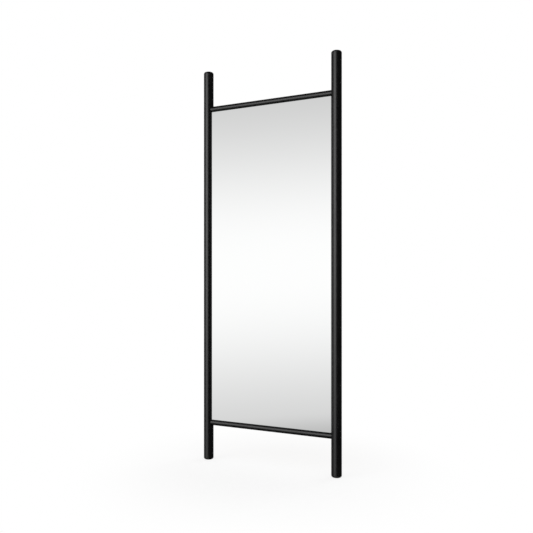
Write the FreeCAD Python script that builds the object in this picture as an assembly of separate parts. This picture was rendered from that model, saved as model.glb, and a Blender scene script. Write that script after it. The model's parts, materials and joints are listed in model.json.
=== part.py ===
import FreeCAD
import Part
import math
import os

# Leaning floor mirror: two round steel posts joined by two thinner round rails, ladder fashion, with a
# silvered glass panel filling the field between them. The posts run on past both rails and end in domed caps,
# so the lower ends are the feet and the upper ends rest against the wall.
# X runs across the mirror, Y runs from the viewer to the wall and Z is up, all in millimetres. The origin is
# on the floor, midway between the posts, and the axes of the posts and rails lie in the plane Y = 0.

Vector = FreeCAD.Vector
ORIGIN = Vector(0, 0, 0)
X_AXIS = Vector(1, 0, 0)
Y_AXIS = Vector(0, 1, 0)
Z_AXIS = Vector(0, 0, 1)
SAME_PLACE = 0.001  # two edges closer than this lie at the same place

# Overall frame
OVERALL_HEIGHT = 1600.0
OVERALL_WIDTH = 600.0  # over the outside of the posts
POST_DIAMETER = 40.0
POST_WALL = 2.0
RAIL_DIAMETER = 25.0
RAIL_WALL = 2.0
TOP_RAIL_INSET = 147.0  # from the end of a post's tube to the axis of the rail
BOTTOM_RAIL_INSET = 144.0

# Domed end caps, pushed into the posts
CAP_HEAD_HEIGHT = 10.0
CAP_EDGE_RADIUS = 8.0
CAP_CROWN_WALL = 4.0
CAP_SEAM = 0.4  # chamfer that shows as a line where cap and post meet
CAP_SKIRT_LENGTH = 26.0
CAP_SKIRT_WALL = 2.5
CAP_FIN_COUNT = 4
CAP_FIN_DEPTH = 1.2
CAP_FIT = 0.1  # radial gap between the fins and the bore

# Spigots welded to the posts, on which the rails are pushed and locked
SPIGOT_LENGTH = 34.0  # from the wall of the post
SPIGOT_CHAMFER = 1.5
SPIGOT_FIT = 0.1  # radial gap in the rail
LOCK_SETBACK = 20.0  # from the wall of the post to the axis of the lock screw
LOCK_DIAMETER = 5.0
LOCK_LENGTH = 14.0
LOCK_TIP = 0.8
LOCK_HEAD_DIAMETER = 8.5
LOCK_SINK = 0.8  # head below the back of the rail
LOCK_SOCKET = 3.0  # across the flats
LOCK_SOCKET_DEPTH = 1.5
LOCK_CLEARANCE = 0.2  # radial, in the rail
THREAD_CLEARANCE = 0.05  # radial, in the spigot

# Mirror panel, from front to back
GLASS_PROUD = 6.5  # front of the glass ahead of the post axes
GLASS_THICKNESS = 4.0
GLASS_ARRIS = 0.25
GLASS_EDGE_GAP = 0.2  # least gap to the posts and rails
FILM_THICKNESS = 0.2
FILM_MARGIN = 3.0
TAPE_THICKNESS = 1.0
TAPE_WIDTH = 25.0
TAPE_COUNT = 5
TAPE_MARGIN = 45.0
BOARD_THICKNESS = 10.0
BOARD_CHAMFER = 1.0
BOARD_EDGE_GAP = 1.0

# Lugs welded to the posts, which carry the panel from behind
LUG_NAMES = ("bottom", "lower", "upper", "top")
LUG_HEIGHT = 30.0
LUG_OVERLAP = 20.0  # over the back of the board
LUG_THICKNESS = 3.0
LUG_CORNER = 6.0
LUG_END_MARGIN = 70.0  # from the end of the board to the nearest lug's centre

# Screws that hold the board to the lugs
SCREW_DIAMETER = 4.0
SCREW_TIP = 2.5
SCREW_HEAD_DIAMETER = 8.0
SCREW_HEAD_HEIGHT = 2.6
SCREW_CLEARANCE = 0.25  # radial, in the lug or strap
SCREW_COVER = 3.0  # board left in front of a screw's tip
PILOT_CLEARANCE = 0.05  # round the screw, in the board
RECESS_SHARE = 0.55  # of the head's width that the cross recess spans
RECESS_WIDTH = 0.9
RECESS_DEPTH = 1.3

# Ring hangers on the back of the board, for a wall hook or a tether against tipping
HANGER_INSET = 89.0  # from the side of the board to the middle of the ring
HANGER_DROP = 120.0  # from the top of the board to the ring's pivot
STRAP_WIDTH = 12.0
STRAP_THICKNESS = 1.2
STRAP_LENGTH = 46.0
STRAP_FOOT_CORNER = 5.0
STRAP_HOLE_COUNT = 2
STRAP_FIRST_HOLE = 28.0  # below the pivot
STRAP_HOLE_PITCH = 11.0
STRAP_CURL_ANGLE = 300.0
RING_WIRE_DIAMETER = 2.5
RING_WIDTH = 22.0  # between the centre lines of the two legs
RING_DROP = 19.0  # centre line, pivot to the foot of the bow
RING_CORNER = 3.5
RING_PLAY = 0.35  # radial, in the strap's eye
HANGER_SCREW_DIAMETER = 3.5
HANGER_SCREW_TIP = 2.0
HANGER_HEAD_DIAMETER = 7.0
HANGER_HEAD_HEIGHT = 2.2

# Sizes that follow from the ones above
SIDES = {"left": -1, "right": 1}
POST_RADIUS = POST_DIAMETER / 2
POST_BORE_RADIUS = POST_RADIUS - POST_WALL
POST_SPACING = OVERALL_WIDTH - POST_DIAMETER
RAIL_RADIUS = RAIL_DIAMETER / 2
RAIL_BORE_RADIUS = RAIL_RADIUS - RAIL_WALL
TOP_RAIL_Z = OVERALL_HEIGHT - CAP_HEAD_HEIGHT - TOP_RAIL_INSET
BOTTOM_RAIL_Z = CAP_HEAD_HEIGHT + BOTTOM_RAIL_INSET
RAIL_HEIGHTS = {"bottom": BOTTOM_RAIL_Z, "top": TOP_RAIL_Z}
RAIL_SPACING = TOP_RAIL_Z - BOTTOM_RAIL_Z
PANEL_CENTRE_Z = (TOP_RAIL_Z + BOTTOM_RAIL_Z) / 2

GLASS_FRONT_Y = -GLASS_PROUD
GLASS_EDGE_Y = GLASS_FRONT_Y + GLASS_ARRIS  # where the arris ends and the edge begins
GLASS_BACK_Y = GLASS_FRONT_Y + GLASS_THICKNESS
FILM_BACK_Y = GLASS_BACK_Y + FILM_THICKNESS
BOARD_FRONT_Y = FILM_BACK_Y + TAPE_THICKNESS
BOARD_BACK_Y = BOARD_FRONT_Y + BOARD_THICKNESS
LUG_BACK_Y = BOARD_BACK_Y + LUG_THICKNESS
STRAP_BACK_Y = BOARD_BACK_Y + STRAP_THICKNESS

SCREW_LENGTH = LUG_THICKNESS + BOARD_THICKNESS - SCREW_COVER
HANGER_SCREW_LENGTH = STRAP_THICKNESS + BOARD_THICKNESS - SCREW_COVER
RING_WIRE_RADIUS = RING_WIRE_DIAMETER / 2
EYE_RADIUS = RING_WIRE_RADIUS + RING_PLAY
PIVOT_Y = STRAP_BACK_Y + EYE_RADIUS


def half_clear_size(spacing, radius, y):
    """Half the clear distance between two parallel round bars, at a depth ahead of or behind their axes."""
    return spacing / 2 - math.sqrt(radius**2 - y**2)


def glass_half_sizes(spacing, radius):
    """Half the size of the glass behind its arris and at its back, between two bars that its edges follow."""
    front = half_clear_size(spacing, radius, GLASS_EDGE_Y)
    back = half_clear_size(spacing, radius, GLASS_BACK_Y)
    half_chord = math.hypot(GLASS_BACK_Y - GLASS_EDGE_Y, front - back) / 2
    bulge = radius - math.sqrt(radius**2 - half_chord**2)
    return front - bulge - GLASS_EDGE_GAP, back - bulge - GLASS_EDGE_GAP


GLASS_HALF_WIDTH, GLASS_BACK_HALF_WIDTH = glass_half_sizes(POST_SPACING, POST_RADIUS)
GLASS_HALF_HEIGHT, GLASS_BACK_HALF_HEIGHT = glass_half_sizes(RAIL_SPACING, RAIL_RADIUS)
TIGHTEST_Y = max(0.0, BOARD_FRONT_Y)  # depth at which the bars leave the board the least room
BOARD_HALF_WIDTH = half_clear_size(POST_SPACING, POST_RADIUS, TIGHTEST_Y) - BOARD_EDGE_GAP
BOARD_HALF_HEIGHT = half_clear_size(RAIL_SPACING, RAIL_RADIUS, TIGHTEST_Y) - BOARD_EDGE_GAP
LUG_SCREW_OFFSET = BOARD_HALF_WIDTH - LUG_OVERLAP / 2
HANGER_X = BOARD_HALF_WIDTH - HANGER_INSET
HANGER_Z = PANEL_CENTRE_Z + BOARD_HALF_HEIGHT - HANGER_DROP


def line(start, end):
    return Part.LineSegment(start, end).toShape()


def arc(start, middle, end):
    return Part.Arc(start, middle, end).toShape()


def polyline(corners):
    return [line(first, second) for first, second in zip(corners, corners[1:])]


def rod(radius, start, direction, length):
    return Part.makeCylinder(radius, length, start, direction)


def tube(outer_radius, inner_radius, start, direction, length):
    return rod(outer_radius, start, direction, length).cut(rod(inner_radius, start, direction, length))


def sheet(half_width, half_height, front_y, back_y, centre_x=0.0, centre_z=PANEL_CENTRE_Z):
    """Upright rectangular sheet, square to Y."""
    corner = Vector(centre_x - half_width, front_y, centre_z - half_height)
    return Part.makeBox(2 * half_width, back_y - front_y, 2 * half_height, corner)


def panel_outline(half_width, half_height, y):
    """Closed rectangle round the middle of the panel, square to Y."""
    signs = ((-1, -1), (1, -1), (1, 1), (-1, 1), (-1, -1))
    return Part.makePolygon([Vector(x * half_width, y, PANEL_CENTRE_Z + z * half_height) for x, z in signs])


def turned(edges):
    """Solid of revolution about Z from a closed chain of edges in the plane Y = 0."""
    return Part.Face(Part.Wire(edges)).revolve(ORIGIN, Z_AXIS, 360)


def turned_from_points(points):
    """Solid of revolution about Z from (radius, height) points joined by straight lines."""
    corners = [Vector(radius, 0, height) for radius, height in points]
    return turned(polyline(corners + corners[:1]))


def hexagonal_bar(across_flats, length):
    """Six-sided bar from the origin up Z, as cut by a hexagon key."""
    corner_radius = across_flats / 2 / math.cos(math.pi / 6)
    angles = [corner * math.pi / 3 for corner in range(7)]
    corners = [Vector(math.cos(angle), math.sin(angle), 0) * corner_radius for angle in angles]
    return Part.Face(Part.makePolygon(corners)).extrude(Z_AXIS * length)


def placed(shape, position, direction):
    """The shape with its own Z axis turned to a direction and its own origin put at a position."""
    moved = shape.copy()
    moved.Placement = FreeCAD.Placement(position, FreeCAD.Rotation(Z_AXIS, direction))
    return moved


def post_axis(side):
    return side * POST_SPACING / 2


def post_core(side, centre_z, half_length):
    """Solid round bar in the place of a post, cut from other pieces so that they seat on it."""
    return rod(POST_RADIUS, Vector(post_axis(side), 0, centre_z - half_length), Z_AXIS, 2 * half_length)


def make_post(side):
    foot = Vector(post_axis(side), 0, CAP_HEAD_HEIGHT)
    return tube(POST_RADIUS, POST_BORE_RADIUS, foot, Z_AXIS, OVERALL_HEIGHT - 2 * CAP_HEAD_HEIGHT)


def make_end_cap():
    """Moulded cap with a domed head and a hollow finned skirt. Its crown is at Z = 0, its skirt points up."""
    edge_radius = min(CAP_EDGE_RADIUS, CAP_HEAD_HEIGHT - 2 * CAP_SEAM)
    fin_radius = POST_BORE_RADIUS - CAP_FIT
    skirt_radius = fin_radius - CAP_FIN_DEPTH
    skirt_bore = skirt_radius - CAP_SKIRT_WALL
    skirt_end = CAP_HEAD_HEIGHT + CAP_SKIRT_LENGTH
    fin_pitch = CAP_SKIRT_LENGTH / (CAP_FIN_COUNT + 1)

    points = [(POST_RADIUS, edge_radius), (POST_RADIUS, CAP_HEAD_HEIGHT - CAP_SEAM)]
    points += [(POST_RADIUS - CAP_SEAM, CAP_HEAD_HEIGHT), (skirt_radius, CAP_HEAD_HEIGHT)]
    for fin in range(CAP_FIN_COUNT):
        root = CAP_HEAD_HEIGHT + (fin + 0.5) * fin_pitch
        points += [(skirt_radius, root), (fin_radius, root), (skirt_radius, root + fin_pitch / 2)]
    points += [(skirt_radius, skirt_end), (skirt_bore, skirt_end), (skirt_bore, CAP_CROWN_WALL)]
    points += [(0, CAP_CROWN_WALL), (0, 0), (POST_RADIUS - edge_radius, 0)]

    corners = [Vector(radius, 0, height) for radius, height in points]
    bend = edge_radius * math.sin(math.pi / 4)
    bend_middle = Vector(POST_RADIUS - edge_radius + bend, 0, edge_radius - bend)
    return turned(polyline(corners) + [arc(corners[-1], bend_middle, corners[0])])


def lock_screw_points(clearance):
    """Outline of a lock screw, or of its hole with a clearance, from the rim of its head to its tip."""
    head = LOCK_HEAD_DIAMETER / 2 + clearance
    shank = LOCK_DIAMETER / 2 + clearance
    head_height = (LOCK_HEAD_DIAMETER - LOCK_DIAMETER) / 2
    end = LOCK_LENGTH + clearance
    return [(head, 0), (shank, head_height), (shank, end - LOCK_TIP), (shank - LOCK_TIP, end), (0, end)]


def lock_place(shape, side, height):
    """Puts a lock screw or its hole at the back of a rail, square to it."""
    x = post_axis(side) - side * (POST_RADIUS + LOCK_SETBACK)
    return placed(shape, Vector(x, RAIL_RADIUS - LOCK_SINK, height), Y_AXIS * -1)


def make_lock_screw(side, height):
    screw = turned_from_points([(0, 0)] + lock_screw_points(0.0))
    return lock_place(screw.cut(hexagonal_bar(LOCK_SOCKET, LOCK_SOCKET_DEPTH)), side, height)


def make_lock_hole(side, height, clearance):
    """Countersunk hole for a lock screw, open above the head."""
    points = lock_screw_points(clearance)
    opening = [(0, -RAIL_RADIUS), (points[0][0], -RAIL_RADIUS)]
    return lock_place(turned_from_points(opening + points), side, height)


def make_spigot(side, height):
    """Turned stud, fitted to the round of the post at its root and tapped for the lock screw."""
    radius = RAIL_BORE_RADIUS - SPIGOT_FIT
    length = POST_RADIUS + SPIGOT_LENGTH
    points = [(0, 0), (radius, 0), (radius, length - SPIGOT_CHAMFER)]
    points += [(radius - SPIGOT_CHAMFER, length), (0, length)]
    stud = placed(turned_from_points(points), Vector(post_axis(side), 0, height), X_AXIS * -side)
    stud = stud.cut(post_core(side, height, RAIL_DIAMETER))
    return stud.cut(make_lock_hole(side, height, THREAD_CLEARANCE))


def make_rail(height):
    """Tube whose ends are coped to sit on the round posts, with a countersunk hole for each lock screw."""
    start = Vector(post_axis(SIDES["left"]), 0, height)
    rail = tube(RAIL_RADIUS, RAIL_BORE_RADIUS, start, X_AXIS, POST_SPACING)
    for side in SIDES.values():
        rail = rail.cut(post_core(side, height, RAIL_DIAMETER))
        rail = rail.cut(make_lock_hole(side, height, LOCK_CLEARANCE))
    return rail


def make_glass():
    """Mirror glass with an arris round its front, its edges ground back to follow the posts and rails."""
    face = panel_outline(GLASS_HALF_WIDTH - GLASS_ARRIS, GLASS_HALF_HEIGHT - GLASS_ARRIS, GLASS_FRONT_Y)
    edge = panel_outline(GLASS_HALF_WIDTH, GLASS_HALF_HEIGHT, GLASS_EDGE_Y)
    back = panel_outline(GLASS_BACK_HALF_WIDTH, GLASS_BACK_HALF_HEIGHT, GLASS_BACK_Y)
    return Part.makeLoft([face, edge, back], True, True)


def make_film():
    half_width = GLASS_BACK_HALF_WIDTH - FILM_MARGIN
    half_height = GLASS_BACK_HALF_HEIGHT - FILM_MARGIN
    return sheet(half_width, half_height, GLASS_BACK_Y, FILM_BACK_Y)


def make_tapes():
    """Upright strips of mounting tape, evenly spread over the width of the board."""
    reach = BOARD_HALF_WIDTH - TAPE_MARGIN
    half_height = BOARD_HALF_HEIGHT - TAPE_MARGIN
    pitch = 2 * reach / (TAPE_COUNT - 1)
    centres = [strip * pitch - reach for strip in range(TAPE_COUNT)]
    return [sheet(TAPE_WIDTH / 2, half_height, FILM_BACK_Y, BOARD_FRONT_Y, centre) for centre in centres]


def lug_heights():
    lowest = PANEL_CENTRE_Z - BOARD_HALF_HEIGHT + LUG_END_MARGIN
    pitch = 2 * (BOARD_HALF_HEIGHT - LUG_END_MARGIN) / (len(LUG_NAMES) - 1)
    return {name: lowest + index * pitch for index, name in enumerate(LUG_NAMES)}


def make_lug(side, height):
    """Flat steel lug, rounded at its free end and fitted to the round of the post at its root."""
    tip_x = side * (BOARD_HALF_WIDTH - LUG_OVERLAP)
    root_x = post_axis(side)
    half_length = abs(root_x - tip_x) / 2
    lug = sheet(half_length, LUG_HEIGHT / 2, BOARD_BACK_Y, LUG_BACK_Y, (root_x + tip_x) / 2, height)
    tip_corners = []
    for edge in lug.Edges:
        along_y = edge.BoundBox.YLength > LUG_THICKNESS / 2
        if along_y and abs(edge.CenterOfMass.x - tip_x) < SAME_PLACE:
            tip_corners.append(edge)
    lug = lug.makeFillet(LUG_CORNER, tip_corners)
    hole_start = Vector(side * LUG_SCREW_OFFSET, BOARD_BACK_Y, height)
    hole = rod(SCREW_DIAMETER / 2 + SCREW_CLEARANCE, hole_start, Y_AXIS, LUG_THICKNESS)
    return lug.cut(hole).cut(post_core(side, height, LUG_HEIGHT))


def make_screw(shank_diameter, length, tip, head_diameter, head_height):
    """Domed screw with a cross recess. The underside of its head is at Z = 0 and its tip points up."""
    shank = shank_diameter / 2
    rim = Vector(head_diameter / 2, 0, 0)
    crown = Vector(0, 0, -head_height)
    dome_radius = (rim.x**2 + head_height**2) / (2 * head_height)
    half_slope = math.asin(rim.x / dome_radius) / 2
    shoulder_drop = dome_radius * (1 - math.cos(half_slope))
    shoulder = Vector(dome_radius * math.sin(half_slope), 0, shoulder_drop - head_height)
    corners = [rim, Vector(shank, 0, 0), Vector(shank, 0, length - tip), Vector(0, 0, length), crown]
    screw = turned(polyline(corners) + [arc(crown, shoulder, rim)])
    span = RECESS_SHARE * head_diameter
    slot = Part.makeBox(span, RECESS_WIDTH, RECESS_DEPTH, Vector(-span / 2, -RECESS_WIDTH / 2, -head_height))
    cross_slot = slot.copy()
    cross_slot.rotate(ORIGIN, Z_AXIS, 90)
    return screw.cut(slot.fuse(cross_slot))


def panel_screw_points():
    """Where the heads of the panel screws sit on the lugs."""
    points = []
    for side in SIDES.values():
        for height in lug_heights().values():
            points.append(Vector(side * LUG_SCREW_OFFSET, LUG_BACK_Y, height))
    return points


def hanger_screw_points(side):
    """Where the heads of one hanger's screws sit on its strap."""
    first = HANGER_Z - STRAP_FIRST_HOLE
    heights = [first - hole * STRAP_HOLE_PITCH for hole in range(STRAP_HOLE_COUNT)]
    return [Vector(side * HANGER_X, STRAP_BACK_Y, height) for height in heights]


def all_hanger_screw_points():
    return hanger_screw_points(SIDES["left"]) + hanger_screw_points(SIDES["right"])


def make_panel_screws():
    screw = make_screw(SCREW_DIAMETER, SCREW_LENGTH, SCREW_TIP, SCREW_HEAD_DIAMETER, SCREW_HEAD_HEIGHT)
    return [placed(screw, point, Y_AXIS * -1) for point in panel_screw_points()]


def make_hanger_screws():
    screw = make_screw(
        HANGER_SCREW_DIAMETER, HANGER_SCREW_LENGTH, HANGER_SCREW_TIP, HANGER_HEAD_DIAMETER, HANGER_HEAD_HEIGHT
    )
    return [placed(screw, point, Y_AXIS * -1) for point in all_hanger_screw_points()]


def make_board():
    """Fibreboard that the mirror is bonded to, with a pilot hole for each screw."""
    board = sheet(BOARD_HALF_WIDTH, BOARD_HALF_HEIGHT, BOARD_FRONT_Y, BOARD_BACK_Y)
    back_edges = [edge for edge in board.Edges if BOARD_BACK_Y - edge.BoundBox.YMin < SAME_PLACE]
    board = board.makeChamfer(BOARD_CHAMFER, back_edges)
    pilots = [(point, SCREW_DIAMETER / 2, SCREW_LENGTH) for point in panel_screw_points()]
    pilots += [(point, HANGER_SCREW_DIAMETER / 2, HANGER_SCREW_LENGTH) for point in all_hanger_screw_points()]
    for point, radius, length in pilots:
        board = board.cut(rod(radius + PILOT_CLEARANCE, point, Y_AXIS * -1, length + PILOT_CLEARANCE))
    return board


def make_strap(side):
    """Strip of steel screwed to the board, with its upper end curled into an eye for the ring."""
    edge_x = side * HANGER_X - STRAP_WIDTH / 2
    foot_z = HANGER_Z - STRAP_LENGTH
    curl_radius = EYE_RADIUS + STRAP_THICKNESS
    curl_start = math.pi
    curl_end = math.pi - math.radians(STRAP_CURL_ANGLE)
    curl_middle = (curl_start + curl_end) / 2

    def on_curl(radius, angle):
        return Vector(edge_x, PIVOT_Y + radius * math.cos(angle), HANGER_Z + radius * math.sin(angle))

    def curl(radius, start, end):
        return arc(on_curl(radius, start), on_curl(radius, curl_middle), on_curl(radius, end))

    board_foot = Vector(edge_x, BOARD_BACK_Y, foot_z)
    back_foot = Vector(edge_x, STRAP_BACK_Y, foot_z)
    outline = [
        line(board_foot, on_curl(curl_radius, curl_start)),
        curl(curl_radius, curl_start, curl_end),
        line(on_curl(curl_radius, curl_end), on_curl(EYE_RADIUS, curl_end)),
        curl(EYE_RADIUS, curl_end, curl_start),
        line(on_curl(EYE_RADIUS, curl_start), back_foot),
        line(back_foot, board_foot),
    ]
    strap = Part.Face(Part.Wire(outline)).extrude(X_AXIS * STRAP_WIDTH)
    foot_corners = []
    for edge in strap.Edges:
        along_y = edge.BoundBox.YLength > STRAP_THICKNESS / 2
        if along_y and edge.BoundBox.ZMax - foot_z < SAME_PLACE:
            foot_corners.append(edge)
    strap = strap.makeFillet(STRAP_FOOT_CORNER, foot_corners)
    hole_radius = HANGER_SCREW_DIAMETER / 2 + SCREW_CLEARANCE
    for point in hanger_screw_points(side):
        strap = strap.cut(rod(hole_radius, point, Y_AXIS * -1, STRAP_THICKNESS))
    return strap


def make_ring(side):
    """D-shaped wire ring that hangs from the strap's eye."""
    half_width = RING_WIDTH / 2
    bend = RING_CORNER * (1 - math.sin(math.pi / 4))

    def at(x, drop):
        return Vector(side * HANGER_X + x, PIVOT_Y, HANGER_Z - drop)

    bar_left = at(RING_CORNER - half_width, 0)
    bar_right = at(half_width - RING_CORNER, 0)
    leg_right = at(half_width, RING_CORNER)
    leg_left = at(-half_width, RING_CORNER)
    bow_right = at(half_width, RING_DROP - half_width)
    bow_left = at(-half_width, RING_DROP - half_width)
    path = Part.Wire([
        line(bar_left, bar_right),
        arc(bar_right, at(half_width - bend, bend), leg_right),
        line(leg_right, bow_right),
        arc(bow_right, at(0, RING_DROP), bow_left),
        line(bow_left, leg_left),
        arc(leg_left, at(bend - half_width, bend), bar_left),
    ])
    section = Part.Wire(Part.makeCircle(RING_WIRE_RADIUS, bar_left, X_AXIS))
    return path.makePipeShell([section], True, False)


def make_nodes():
    """Every piece of the mirror by name. A list holds the separate solids of one group."""
    nodes = {}
    end_cap = make_end_cap()
    for side_name, side in SIDES.items():
        axis_x = post_axis(side)
        nodes[f"{side_name}_post"] = make_post(side)
        nodes[f"{side_name}_foot_cap"] = placed(end_cap, Vector(axis_x, 0, 0), Z_AXIS)
        nodes[f"{side_name}_top_cap"] = placed(end_cap, Vector(axis_x, 0, OVERALL_HEIGHT), Z_AXIS * -1)
        for lug_name, height in lug_heights().items():
            nodes[f"{side_name}_lug_{lug_name}"] = make_lug(side, height)
        nodes[f"{side_name}_hanger_strap"] = make_strap(side)
        nodes[f"{side_name}_hanger_ring"] = make_ring(side)

    lock_screws = []
    for rail_name, height in RAIL_HEIGHTS.items():
        nodes[f"{rail_name}_rail"] = make_rail(height)
        for side_name, side in SIDES.items():
            nodes[f"{rail_name}_{side_name}_spigot"] = make_spigot(side, height)
            lock_screws.append(make_lock_screw(side, height))
    nodes["rail_lock_screws"] = lock_screws

    nodes["mirror_glass"] = make_glass()
    nodes["safety_film"] = make_film()
    nodes["mirror_tapes"] = make_tapes()
    nodes["backing_board"] = make_board()
    nodes["panel_screws"] = make_panel_screws()
    nodes["hanger_screws"] = make_hanger_screws()
    return nodes


def main():
    os.makedirs("parts", exist_ok=True)
    for name, made in make_nodes().items():
        shape = Part.makeCompound(made) if isinstance(made, list) else made
        shape.exportStep(os.path.join("parts", f"{name}.step"))


main()
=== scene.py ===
import json
import math

import bpy
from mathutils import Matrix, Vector


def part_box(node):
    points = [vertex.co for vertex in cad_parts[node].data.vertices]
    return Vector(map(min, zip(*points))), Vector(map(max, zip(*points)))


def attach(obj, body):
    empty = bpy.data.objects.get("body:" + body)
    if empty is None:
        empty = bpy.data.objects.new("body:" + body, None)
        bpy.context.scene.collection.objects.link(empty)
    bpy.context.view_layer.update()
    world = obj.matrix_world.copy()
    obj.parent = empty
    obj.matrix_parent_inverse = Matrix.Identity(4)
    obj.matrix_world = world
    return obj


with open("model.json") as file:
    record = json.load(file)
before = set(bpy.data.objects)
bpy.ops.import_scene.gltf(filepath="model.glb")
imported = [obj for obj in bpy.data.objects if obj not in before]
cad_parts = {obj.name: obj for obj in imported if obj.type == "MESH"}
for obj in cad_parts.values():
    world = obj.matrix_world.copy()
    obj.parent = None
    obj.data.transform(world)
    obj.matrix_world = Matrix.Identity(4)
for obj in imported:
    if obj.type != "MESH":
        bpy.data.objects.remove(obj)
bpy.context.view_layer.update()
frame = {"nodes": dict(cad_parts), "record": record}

# Looks of the leaning floor mirror: materials, weld beads at the lugs, studio, floor and camera.
# Metres throughout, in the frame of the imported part: X across the mirror, Y towards the wall, Z up.

WHITE = (1.0, 1.0, 1.0, 1.0)

# Camera, level and turned to look at the mirror from its right
PHOTO_PIXELS = 533
FOCAL_PIXELS = 637.35
HORIZON_BELOW_CENTRE = 14.64  # in pixels
SENSOR_WIDTH = 36.0  # in millimetres
CAMERA_PLACE = (1.1035, -2.2625, 0.7357)
CAMERA_TURN = math.radians(26.27)

# Studio: a white surround for the camera, dark with soft boxes for satin surfaces
AMBIENT_LEVEL = 0.75  # light on matt surfaces
SHADE_LEVEL = 0.02  # the dark between the soft boxes

# What the mirror shows: a bright band that leans a little, dims up and down and is shaded near the floor.
# A slope is the rise over run of a direction.
MIRROR_LEVELS = (0.4, 1.0)  # far up or down, and in the middle of the band
MIRROR_PEAK_SLOPE = 0.02
MIRROR_REACH = 0.222  # slope from the middle of the band to where it is half dimmed
MIRROR_SHARPNESS = 2.55
MIRROR_AZIMUTH = 26.0  # where the lean changes nothing, in degrees from the front to the left
MIRROR_LEAN = 0.066  # rise of the band over a unit to the right of there
FLOOR_SHADE_SLOPES = (-0.247, -0.209)
FLOOR_SHADE_SHARES = (0.8, 1.0)  # of the light that is left, low and high
NEAR_FLOOR_SLOPES = (-0.8, -0.245)  # the floor grows pale from the second to the first
NEAR_FLOOR_LEVEL = 0.85

# Soft boxes, in degrees. Azimuth turns from the front to the left and lift is how high the middle stands.
# Across, a box is full as far as flat from its middle and gone at fade. Up and down it is gone at rise.
SOFT_BOXES = {
    "key": {"level": 2.4, "azimuth": 17.0, "flat": 8.0, "fade": 34.0, "lift": 8.0, "rise": 21.0},
    "key_surround": {"level": 1.5, "azimuth": 17.0, "flat": 8.0, "fade": 34.0, "lift": 8.0, "rise": 50.0},
    "side": {"level": 0.2, "azimuth": 90.0, "flat": 30.0, "fade": 60.0, "lift": 0.0, "rise": 75.0},
    "back": {"level": 0.6, "azimuth": 160.0, "flat": 12.0, "fade": 35.0, "lift": 0.0, "rise": 55.0},
}

# Lamps for matt surfaces
LAMP_SIZE = 2.4
LAMP_POWER = 28.0
LAMP_PLACES = {"key_lamp": (-1.8, -2.6, 2.6), "rear_lamp": (1.6, 2.8, 2.6)}
LAMP_TARGET = Vector((0.0, 0.0, 0.8))

# Floor
FLOOR_RADIUS = 6.0
FLOOR_SIDES = 96
FLOOR_COLOUR = (0.92, 0.92, 0.92, 1.0)
FLOOR_WHITE_SHARES = (0.8, 1.0)  # share of plain white seen by the camera, near and far
FLOOR_WHITE_REACH = (0.25, 0.8)  # how far from the middle of the object that is

# Materials
NOISE_SPAN = (0.3, 0.7)  # where nearly all of a noise lies
LEAST_FACING = 0.9  # part of a normal that runs along Y, at least, on the face of a sheet
DUST_HEIGHT = 0.004  # of the dust on the feet
DUST_RAGGEDNESS = 0.0012
BOARD_CLOUD_SHARE = 0.1
BOARD_FLECK_SPAN = (0.66, 0.70)  # of a noise, from no fleck to a full one
BOARD_FLECK_DEPTH = 0.10  # how much darker a fleck is, as a share of the board's tones
BOARD_SAWN_DEPTH = 0.14  # the same of the sawn edges

# Weld beads along the roots of the lugs
BEAD_RADIUS = 0.0021
BEAD_RIPPLE = 0.16  # share of the radius that is lost between two ripples
BEAD_PITCH = 0.0022
BEAD_MARGIN = 0.0015
BEAD_TIP_SHARE = 0.05  # of the radius, at the very ends
BEAD_SIDES = 20
BEAD_RINGS_PER_RIPPLE = 8


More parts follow.
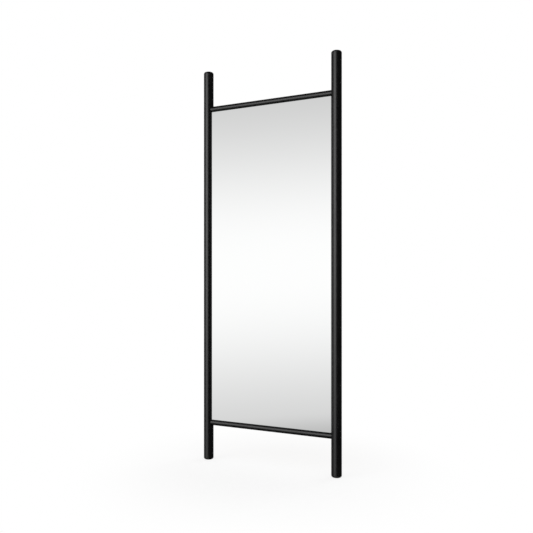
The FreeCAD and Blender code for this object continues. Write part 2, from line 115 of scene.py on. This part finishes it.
class Graph:
    """A node tree being built. A socket is fed by another node's output or by a plain value."""

    def __init__(self, tree):
        self.tree = tree
        tree.nodes.clear()

    def feed(self, socket, value):
        if isinstance(value, bpy.types.NodeSocket):
            self.tree.links.new(value, socket)
        else:
            socket.default_value = value

    def add(self, kind, inputs=None, **settings):
        node = self.tree.nodes.new(kind)
        for name, value in settings.items():
            setattr(node, name, value)
        for name, value in (inputs or {}).items():
            self.feed(node.inputs[name], value)
        return node

    def math(self, operation, *values):
        node = self.add("ShaderNodeMath", operation=operation)
        for socket, value in zip(node.inputs, values):
            self.feed(socket, value)
        return node.outputs[0]

    def vector_math(self, operation, *values):
        node = self.add("ShaderNodeVectorMath", operation=operation)
        for socket, value in zip(node.inputs, values):
            self.feed(socket, value)
        return node.outputs["Value" if operation in ("LENGTH", "DOT_PRODUCT") else "Vector"]

    def spread(self, value, span, levels, smooth=False):
        """The value moved from one span of numbers to another, held at the ends."""
        inputs = {"Value": value, "From Min": span[0], "From Max": span[1]}
        inputs.update({"To Min": levels[0], "To Max": levels[1]})
        kind = "SMOOTHSTEP" if smooth else "LINEAR"
        return self.add("ShaderNodeMapRange", inputs, interpolation_type=kind).outputs["Result"]

    def choose(self, share, first, second):
        """First where the share is 0, second where it is 1."""
        inputs = {"Factor": share, "A": first, "B": second}
        return self.add("ShaderNodeMix", inputs, data_type="FLOAT").outputs["Result"]

    def ramp(self, value, stops):
        """Colours along a value, from (position, (red, green, blue)) stops."""
        node = self.add("ShaderNodeValToRGB", {"Fac": value})
        elements = node.color_ramp.elements
        while len(elements) < len(stops):
            elements.new(1.0)
        for element, (position, colour) in zip(elements, stops):
            element.position = position
            element.color = (*colour, 1.0)
        return node.outputs["Color"]

    def noise(self, place, scale, detail=2.0, roughness=0.5):
        """Noise with a scale per metre, or with three of them, along X, Y and Z."""
        if isinstance(scale, tuple):
            place = self.vector_math("MULTIPLY", place, scale)
            scale = 1.0
        inputs = {"Vector": place, "Scale": scale, "Detail": detail, "Roughness": roughness}
        return self.add("ShaderNodeTexNoise", inputs).outputs["Fac"]

    def vary(self, noise, low, high):
        """A number that follows a noise from low to high."""
        return self.spread(noise, NOISE_SPAN, (low, high))

    def tint(self, noise, dark, light):
        """A colour that follows a noise from dark to light."""
        return self.ramp(noise, list(zip(NOISE_SPAN, (dark, light))))

    def bump(self, height, depth):
        inputs = {"Height": height, "Distance": depth, "Strength": 1.0}
        return self.add("ShaderNodeBump", inputs).outputs["Normal"]

    def upward_part(self, vector):
        return self.add("ShaderNodeSeparateXYZ", {"Vector": vector}).outputs["Z"]


def grey(level):
    return (level, level, level)


def new_material(name):
    """A material with a bare shader, its graph and the place on the piece in metres."""
    material = bpy.data.materials.new(name)
    material.use_nodes = True
    graph = Graph(material.node_tree)
    shader = graph.add("ShaderNodeBsdfPrincipled")
    output = graph.add("ShaderNodeOutputMaterial")
    graph.feed(output.inputs["Surface"], shader.outputs["BSDF"])
    place = graph.add("ShaderNodeTexCoord").outputs["Object"]
    return material, graph, shader, place


def set_inputs(graph, shader, **values):
    for name, value in values.items():
        graph.feed(shader.inputs[name.replace("_", " ")], value)


def facing_share(graph):
    """1 on faces square to Y, 0 on the edges of a sheet."""
    normal = graph.add("ShaderNodeNewGeometry").outputs["True Normal"]
    along_y = graph.add("ShaderNodeSeparateXYZ", {"Vector": normal}).outputs["Y"]
    return graph.math("GREATER_THAN", graph.math("ABSOLUTE", along_y), LEAST_FACING)


def make_frame_steel():
    """Satin black powder coat: fine orange peel, with slow drifts of tone and gloss."""
    material, graph, shader, place = new_material("black_powder_coat")
    peel = graph.noise(place, scale=650.0, roughness=0.45)
    drift = graph.noise(place, scale=9.0, detail=3.0, roughness=0.55)
    set_inputs(
        graph, shader,
        Base_Color=graph.tint(drift, dark=grey(0.0032), light=grey(0.0048)),
        Roughness=graph.vary(drift, low=0.30, high=0.36),
        Normal=graph.bump(peel, depth=0.00003),
    )
    return material


def make_cap_plastic():
    """Moulded plastic with a fine eroded grain."""
    material, graph, shader, place = new_material("black_cap_plastic")
    grain = graph.noise(place, scale=2600.0, detail=3.0, roughness=0.6)
    drift = graph.noise(place, scale=60.0)
    set_inputs(
        graph, shader,
        Base_Color=graph.tint(drift, dark=grey(0.0036), light=grey(0.0052)),
        Roughness=graph.vary(grain, low=0.33, high=0.43),
        Normal=graph.bump(grain, depth=0.000015),
    )
    return material


def make_foot_rubber():
    """Moulded rubber, matter than the caps and a little dusty where it meets the floor."""
    material, graph, shader, place = new_material("black_foot_rubber")
    grain = graph.noise(place, scale=1900.0, detail=3.0, roughness=0.6)
    ragged = graph.vary(grain, low=-DUST_RAGGEDNESS, high=DUST_RAGGEDNESS)
    height = graph.math("ADD", graph.upward_part(place), ragged)
    clean = graph.spread(height, (0.0, DUST_HEIGHT), (0.0, 1.0), smooth=True)
    set_inputs(
        graph, shader,
        Base_Color=graph.ramp(clean, [(0.0, (0.030, 0.029, 0.027)), (1.0, grey(0.0048))]),
        Roughness=graph.vary(grain, low=0.42, high=0.56),
        Normal=graph.bump(grain, depth=0.00002),
    )
    return material


def make_mirror():
    """Silvered glass: a perfect mirror on its faces, ground grey-green glass round its edges."""
    material, graph, shader, place = new_material("silvered_glass")
    face = facing_share(graph)
    grind = graph.noise(place, scale=(300.0, 2500.0, 300.0), detail=3.0)
    set_inputs(
        graph, shader,
        Base_Color=graph.ramp(face, [(0.0, (0.16, 0.30, 0.25)), (1.0, (0.985, 0.99, 0.987))]),
        Metallic=face,
        Roughness=graph.choose(face, grind, 0.0),
    )
    return material


def make_film():
    """Grey safety film with a faint crosswise pattern of threads."""
    material, graph, shader, place = new_material("grey_safety_film")
    across = graph.noise(place, scale=(1600.0, 1.0, 60.0))
    along = graph.noise(place, scale=(60.0, 1.0, 1600.0))
    weave = graph.choose(0.5, across, along)
    set_inputs(
        graph, shader,
        Base_Color=graph.tint(weave, dark=(0.36, 0.39, 0.38), light=(0.48, 0.51, 0.50)),
        Roughness=graph.vary(weave, low=0.40, high=0.55),
    )
    return material


def make_tape():
    """White foam tape, with fine cells."""
    material, graph, shader, place = new_material("white_foam_tape")
    cells = graph.noise(place, scale=3000.0)
    set_inputs(
        graph, shader,
        Base_Color=graph.tint(cells, dark=(0.72, 0.72, 0.70), light=(0.86, 0.86, 0.84)),
        Roughness=graph.vary(cells, low=0.75, high=0.95),
        Normal=graph.bump(cells, depth=0.00005),
    )
    return material


def make_board():
    """Bare fibreboard: pressed fibres and dark flecks on its faces, darker where it was sawn."""
    material, graph, shader, place = new_material("bare_fibreboard")
    fibres = graph.noise(place, scale=(900.0, 900.0, 420.0), detail=5.0, roughness=0.65)
    clouds = graph.noise(place, scale=11.0, detail=3.0)
    flecks = graph.noise(place, scale=(700.0, 700.0, 1500.0))
    tone = graph.choose(BOARD_CLOUD_SHARE, fibres, clouds)
    tone = graph.math("SUBTRACT", tone, graph.spread(flecks, BOARD_FLECK_SPAN, (0.0, BOARD_FLECK_DEPTH)))
    tone = graph.math("SUBTRACT", tone, graph.choose(facing_share(graph), BOARD_SAWN_DEPTH, 0.0))
    tones = [(0.25, (0.25, 0.16, 0.088)), (0.5, (0.40, 0.27, 0.16)), (0.75, (0.52, 0.37, 0.235))]
    set_inputs(
        graph, shader,
        Base_Color=graph.ramp(tone, tones),
        Roughness=graph.vary(fibres, low=0.62, high=0.80),
        Normal=graph.bump(fibres, depth=0.00004),
    )
    return material


def make_zinc_steel():
    """Zinc plating gone dull: grey with a faint cloudy spangle and fine drawing lines."""
    material, graph, shader, place = new_material("zinc_plating")
    lines = graph.noise(place, scale=(4000.0, 1500.0, 250.0))
    clouds = graph.noise(place, scale=240.0, detail=3.0, roughness=0.6)
    set_inputs(
        graph, shader,
        Metallic=0.65,
        Base_Color=graph.tint(clouds, dark=(0.55, 0.565, 0.58), light=(0.70, 0.705, 0.70)),
        Roughness=graph.vary(lines, low=0.34, high=0.48),
        Normal=graph.bump(lines, depth=0.000006),
    )
    return material


def make_black_screw():
    """Black oxide steel: dark and slightly oily, with thin bluish drifts."""
    material, graph, shader, place = new_material("black_oxide")
    drift = graph.noise(place, scale=500.0, detail=3.0)
    set_inputs(
        graph, shader,
        Base_Color=graph.tint(drift, dark=(0.010, 0.010, 0.011), light=(0.024, 0.024, 0.027)),
        Roughness=graph.vary(drift, low=0.28, high=0.42),
    )
    return material


MATERIAL_MAKERS = {
    "frame_steel": make_frame_steel,
    "cap_plastic": make_cap_plastic,
    "foot_rubber": make_foot_rubber,
    "mirror": make_mirror,
    "film": make_film,
    "tape": make_tape,
    "board": make_board,
    "zinc_steel": make_zinc_steel,
    "black_screw": make_black_screw,
}


def dress_nodes():
    """Gives every node of the part the material of its slot, and returns the materials by slot."""
    materials = {slot: maker() for slot, maker in MATERIAL_MAKERS.items()}
    for row in frame["record"]["subparts"]:
        mesh = frame["nodes"][row["node"]].data
        mesh.materials.clear()
        mesh.materials.append(materials[row["material_slot"]])
    return materials


def new_object(name, data):
    made = bpy.data.objects.new(name, data)
    bpy.context.scene.collection.objects.link(made)
    return made


def bead_radius(along, length):
    """Radius of a weld bead at a distance along it: rippled, and rounded off at both ends."""
    from_end = min(along, length - along)
    rounding = math.sqrt(max(0.0, 1 - (1 - min(1.0, from_end / BEAD_RADIUS)) ** 2))
    ripple = 1 - BEAD_RIPPLE * (1 - math.sqrt(abs(math.sin(math.pi * along / BEAD_PITCH))))
    return BEAD_RADIUS * ripple * max(BEAD_TIP_SHARE, rounding)


def bead_faces(ring_count):
    """Faces of a weld bead: its two ends, and the strips between its rings of points."""
    last_ring = ring_count * BEAD_SIDES
    faces = [tuple(reversed(range(BEAD_SIDES))), tuple(range(last_ring, last_ring + BEAD_SIDES))]
    for ring in range(ring_count):
        for corner in range(BEAD_SIDES):
            here = ring * BEAD_SIDES + corner
            beside = ring * BEAD_SIDES + (corner + 1) % BEAD_SIDES
            faces.append((here, beside, beside + BEAD_SIDES, here + BEAD_SIDES))
    return faces


def make_weld_bead(side_name, lug_name, material):
    """Bead of weld up the root of a lug, in the corner between its back and the post."""
    lug_low, lug_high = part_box(lug_name)
    post_low, post_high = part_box(f"{side_name}_post")
    post_x = (post_low.x + post_high.x) / 2
    post_radius = (post_high.x - post_low.x) / 2
    towards_lug = math.copysign(1.0, (lug_low.x + lug_high.x) / 2 - post_x)
    root_x = post_x + towards_lug * math.sqrt(post_radius**2 - lug_high.y**2)
    start_z = lug_low.z + BEAD_MARGIN
    length = lug_high.z - lug_low.z - 2 * BEAD_MARGIN

    ring_count = round(length / BEAD_PITCH * BEAD_RINGS_PER_RIPPLE)
    points = []
    for ring in range(ring_count + 1):
        along = ring * length / ring_count
        radius = bead_radius(along, length)
        for corner in range(BEAD_SIDES):
            angle = 2 * math.pi * corner / BEAD_SIDES
            x = root_x + radius * math.cos(angle)
            y = lug_high.y + radius * math.sin(angle)
            points.append((x, y, start_z + along))

    mesh = bpy.data.meshes.new(f"{lug_name}_weld")
    mesh.from_pydata(points, [], bead_faces(ring_count))
    mesh.shade_smooth()
    mesh.materials.append(material)
    bead = new_object(f"{lug_name}_weld", mesh)
    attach(bead, "frame")


def make_weld_beads(material):
    for node in sorted(frame["nodes"]):
        side_name, _, rest = node.partition("_")
        if rest.startswith("lug_"):
            make_weld_bead(side_name, node, material)


def soft_box(graph, flat_direction, elevation, level, azimuth, flat, fade, lift, rise):
    """Light from a soft box in a direction."""
    turn = math.radians(azimuth)
    middle = (-math.sin(turn), -math.cos(turn), 0.0)
    nearness = graph.vector_math("DOT_PRODUCT", flat_direction, middle)
    edges = (math.cos(math.radians(fade)), math.cos(math.radians(flat)))
    across = graph.spread(nearness, edges, (0.0, 1.0), smooth=True)
    from_middle = graph.math("ABSOLUTE", graph.math("SUBTRACT", elevation, math.radians(lift)))
    upwards = graph.spread(from_middle, (0.0, math.radians(rise)), (level, 0.0), smooth=True)
    return graph.math("MULTIPLY", across, upwards)


def mirror_band(graph, flat_direction, slope):
    """Light that the mirror shows in a direction."""
    turn = math.radians(MIRROR_AZIMUTH)
    sideways = graph.vector_math("DOT_PRODUCT", flat_direction, (math.cos(turn), -math.sin(turn), 0.0))
    slope = graph.math("SUBTRACT", slope, graph.math("MULTIPLY", sideways, MIRROR_LEAN))
    from_peak = graph.math("ABSOLUTE", graph.math("SUBTRACT", slope, MIRROR_PEAK_SLOPE))
    dimming = graph.math("POWER", graph.math("DIVIDE", from_peak, MIRROR_REACH), MIRROR_SHARPNESS)
    bright_share = graph.math("DIVIDE", 1.0, graph.math("ADD", dimming, 1.0))
    floor_shade = graph.spread(slope, FLOOR_SHADE_SLOPES, FLOOR_SHADE_SHARES, smooth=True)
    band = graph.math("MULTIPLY", floor_shade, graph.choose(bright_share, *MIRROR_LEVELS))
    near_share = graph.spread(slope, NEAR_FLOOR_SLOPES, (1.0, 0.0), smooth=True)
    return graph.choose(near_share, band, NEAR_FLOOR_LEVEL)


def make_studio():
    """Surround: white to the camera, a bright band to the mirror, soft boxes in the dark to satin."""
    world = bpy.data.worlds.new("studio")
    bpy.context.scene.world = world
    world.use_nodes = True
    # What the surround shows depends on what a ray left, so it isn't also sampled as a lamp.
    world.cycles.sampling_method = "NONE"
    graph = Graph(world.node_tree)
    direction = graph.add("ShaderNodeTexCoord").outputs["Generated"]
    upward = graph.upward_part(direction)
    level_part = graph.vector_math("MULTIPLY", direction, (1.0, 1.0, 0.0))
    flat_direction = graph.vector_math("NORMALIZE", level_part)
    elevation = graph.math("ARCSINE", upward)
    slope = graph.math("DIVIDE", upward, graph.vector_math("LENGTH", level_part))

    on_satin = SHADE_LEVEL
    for box in SOFT_BOXES.values():
        on_satin = graph.math("ADD", on_satin, soft_box(graph, flat_direction, elevation, **box))

    ray = graph.add("ShaderNodeLightPath").outputs
    level = graph.choose(ray["Is Glossy Ray"], AMBIENT_LEVEL, on_satin)
    level = graph.choose(ray["Is Singular Ray"], level, mirror_band(graph, flat_direction, slope))
    level = graph.choose(ray["Is Camera Ray"], level, 1.0)
    background = graph.add("ShaderNodeBackground", {"Color": WHITE, "Strength": level})
    output = graph.add("ShaderNodeOutputWorld")
    graph.feed(output.inputs["Surface"], background.outputs[0])


def make_lamps():
    """Big soft lamps in front and behind, which light matt surfaces and show in none."""
    for name, place in LAMP_PLACES.items():
        light = bpy.data.lights.new(name, "AREA")
        light.shape = "DISK"
        light.size = LAMP_SIZE
        light.energy = LAMP_POWER
        lamp = new_object(name, light)
        lamp.location = place
        lamp.rotation_euler = (LAMP_TARGET - Vector(place)).to_track_quat("-Z", "Y").to_euler()
        lamp.visible_glossy = False


def make_floor_material():
    """Pale paint that the camera sees as plain white away from the object, and shaded by it nearby."""
    material = bpy.data.materials.new("pale_floor")
    material.use_nodes = True
    material.cycles.emission_sampling = "NONE"
    graph = Graph(material.node_tree)
    place = graph.add("ShaderNodeNewGeometry").outputs["Position"]
    distance = graph.vector_math("LENGTH", place)
    share = graph.spread(distance, FLOOR_WHITE_REACH, FLOOR_WHITE_SHARES, smooth=True)
    is_camera = graph.add("ShaderNodeLightPath").outputs["Is Camera Ray"]
    painted = graph.add("ShaderNodeBsdfDiffuse", {"Color": FLOOR_COLOUR})
    plain_white = graph.add("ShaderNodeEmission", {"Color": WHITE, "Strength": 1.0})
    mix = graph.add("ShaderNodeMixShader", {"Fac": graph.math("MULTIPLY", is_camera, share)})
    graph.feed(mix.inputs[1], painted.outputs[0])
    graph.feed(mix.inputs[2], plain_white.outputs[0])
    output = graph.add("ShaderNodeOutputMaterial")
    graph.feed(output.inputs["Surface"], mix.outputs[0])
    return material


def make_floor():
    """Round floor, which the mirror and satin surfaces don't show."""
    corners = []
    for corner in range(FLOOR_SIDES):
        angle = 2 * math.pi * corner / FLOOR_SIDES
        corners.append((FLOOR_RADIUS * math.cos(angle), FLOOR_RADIUS * math.sin(angle), 0.0))
    mesh = bpy.data.meshes.new("floor")
    mesh.from_pydata(corners, [], [tuple(range(FLOOR_SIDES))])
    mesh.materials.append(make_floor_material())
    floor = new_object("floor", mesh)
    floor.visible_glossy = False


def make_camera():
    """Level camera, its frame shifted so that the horizon lies where the photograph has it."""
    data = bpy.data.cameras.new("camera")
    data.sensor_width = SENSOR_WIDTH
    data.lens = FOCAL_PIXELS / PHOTO_PIXELS * SENSOR_WIDTH
    data.shift_y = HORIZON_BELOW_CENTRE / PHOTO_PIXELS
    camera = new_object("camera", data)
    camera.location = CAMERA_PLACE
    camera.rotation_euler = (math.pi / 2, 0.0, CAMERA_TURN)
    bpy.context.scene.camera = camera


materials = dress_nodes()
make_weld_beads(materials["frame_steel"])
make_studio()
make_lamps()
make_floor()
make_camera()
bpy.context.scene.view_settings.view_transform = "Standard"
